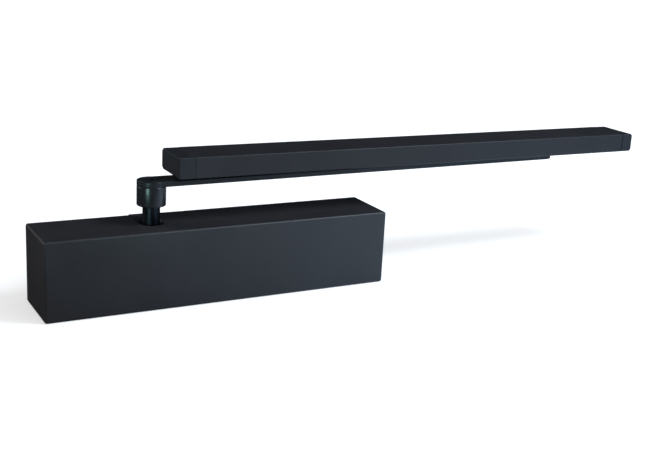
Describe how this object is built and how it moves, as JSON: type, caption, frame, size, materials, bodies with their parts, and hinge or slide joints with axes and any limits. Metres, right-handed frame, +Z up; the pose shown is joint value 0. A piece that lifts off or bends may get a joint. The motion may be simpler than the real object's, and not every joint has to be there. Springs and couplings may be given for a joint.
{
  "type": "slide arm door closer",
  "caption": "Satin black slide arm door closer: boxed cam-action closer body, flat lever arm on its spindle, and a slide channel with end caps above the arm.",
  "frame": {"origin": "centre of the housing's four fixing holes on its back face, where it meets the door leaf", "axes": "+X along the body towards the free end of the arm, +Y into the door leaf, +Z up along the spindle"},
  "size_m": [0.552, 0.053, 0.1108],
  "materials": {
    "cast_housing": "as-cast skin, painted black",
    "black_satin_coating": "satin black powder coat",
    "black_plastic": "satin moulded plastic",
    "black_steel": "satin black lacquer on steel",
    "blued_steel": "blackened, oiled",
    "machined_steel": "fine turned",
    "spring_steel": "oil-tempered wire",
    "seal_rubber": "matt",
    "valve_brass": "turned",
    "nylon": "moulded",
    "cast_zinc": "die-cast zinc, black passivated"
  },
  "bodies": {
    "housing": {"closer_housing": "cast_housing", "cover_clips": "spring_steel", "cover_clip_screws": "machined_steel", "left_end_plug": "blued_steel", "right_end_plug": "blued_steel", "end_plug_seals": "seal_rubber", "upper_bearing_cap": "blued_steel", "upper_needle_bearing": "machined_steel", "upper_shaft_seal": "seal_rubber", "lower_bearing_cap": "blued_steel", "lower_needle_bearing": "machined_steel", "lower_shaft_seal": "seal_rubber", "valve_seals": "seal_rubber", "damper_return_spring": "spring_steel", "outer_closing_spring": "spring_steel", "inner_closing_spring": "spring_steel"},
    "cover": {"front_cover": "black_satin_coating", "lower_slot_blind": "black_plastic"},
    "arm": {"cam_spindle": "blued_steel", "arm_boss": "blued_steel", "arm_boss_sleeve": "black_plastic", "slide_arm": "black_steel", "arm_screw": "black_steel", "slide_pin": "machined_steel", "pin_retaining_ring": "spring_steel"},
    "drive_piston": {"drive_piston": "machined_steel", "drive_check_valve": "valve_brass", "drive_roller_pin": "machined_steel"},
    "drive_roller": {"drive_roller": "blued_steel"},
    "damper_piston": {"damper_piston": "machined_steel", "damper_check_valve": "valve_brass", "damper_roller_pin": "machined_steel"},
    "damper_roller": {"damper_roller": "blued_steel"},
    "adjusting_screw": {"spring_adjusting_screw": "machined_steel", "adjusting_screw_seal": "seal_rubber"},
    "spring_seat": {"spring_seat": "blued_steel"},
    "closing_speed_valve": {"closing_speed_valve": "valve_brass"},
    "latching_speed_valve": {"latching_speed_valve": "valve_brass"},
    "backcheck_valve": {"backcheck_valve": "valve_brass"},
    "slide_block": {"slide_block": "nylon"},
    "slide_channel": {"slide_channel": "black_satin_coating", "channel_lips": "black_satin_coating", "left_channel_mount": "cast_zinc", "right_channel_mount": "cast_zinc", "left_end_cap": "black_plastic", "right_end_cap": "black_plastic"}
  },
  "joints": [
    {"name": "arm_swing", "type": "hinge", "parent": "housing", "child": "arm", "pos_m": [-0.052, -0.0265, 0], "axis": [0, 0, 1], "range_deg": [0, 120], "stiffness_Nm_per_rad": 6},
    {"name": "drive_piston_slide", "type": "slide", "parent": "housing", "child": "drive_piston", "axis": [1, 0, 0], "range_m": [0, 0.00735], "deforming": ["outer_closing_spring", "inner_closing_spring"]},
    {"name": "drive_roller_spin", "type": "hinge", "parent": "drive_piston", "child": "drive_roller", "pos_m": [-0.039, -0.0265, 0], "axis": [0, 0, 1], "continuous": true},
    {"name": "damper_piston_slide", "type": "slide", "parent": "housing", "child": "damper_piston", "axis": [1, 0, 0], "range_m": [0, 0.00735], "deforming": ["damper_return_spring"]},
    {"name": "damper_roller_spin", "type": "hinge", "parent": "damper_piston", "child": "damper_roller", "pos_m": [-0.076, -0.0265, 0], "axis": [0, 0, 1], "continuous": true},
    {"name": "spring_adjustment", "type": "hinge", "parent": "housing", "child": "adjusting_screw", "pos_m": [0.11, -0.0265, 0], "axis": [1, 0, 0], "range_deg": [0, 1921]},
    {"name": "spring_seat_travel", "type": "slide", "parent": "housing", "child": "spring_seat", "axis": [-1, 0, 0], "range_m": [0, 0.008]},
    {"name": "closing_speed_adjustment", "type": "hinge", "parent": "housing", "child": "closing_speed_valve", "pos_m": [-0.082, -0.045, -0.0213], "axis": [0, 1, 0], "range_deg": [-180, 360]},
    {"name": "latching_speed_adjustment", "type": "hinge", "parent": "housing", "child": "latching_speed_valve", "pos_m": [-0.094, -0.045, -0.0213], "axis": [0, 1, 0], "range_deg": [-180, 360]},
    {"name": "backcheck_adjustment", "type": "hinge", "parent": "housing", "child": "backcheck_valve", "pos_m": [-0.106, -0.045, -0.0213], "axis": [0, 1, 0], "range_deg": [-180, 360]},
    {"name": "cover_removal", "type": "slide", "parent": "housing", "child": "cover", "axis": [0, -1, 0], "range_m": [0, 0.06]},
    {"name": "slide_block_pivot", "type": "hinge", "parent": "arm", "child": "slide_block", "pos_m": [0.32, -0.0195, 0.0727], "axis": [0, 0, 1], "range_deg": [-120, 120]},
    {"name": "channel_travel", "type": "slide", "parent": "slide_block", "child": "slide_channel", "axis": [1, 0, 0], "range_m": [-0.041, 0.3]}
  ],
  "couplings": [
    {"joint": "drive_piston_slide", "follows": "arm_swing", "m_per_rad": 0.0035},
    {"joint": "damper_piston_slide", "follows": "arm_swing", "m_per_rad": 0.0035},
    {"joint": "spring_adjustment", "follows": "spring_seat_travel", "rad_per_m": 4188.8}
  ]
}
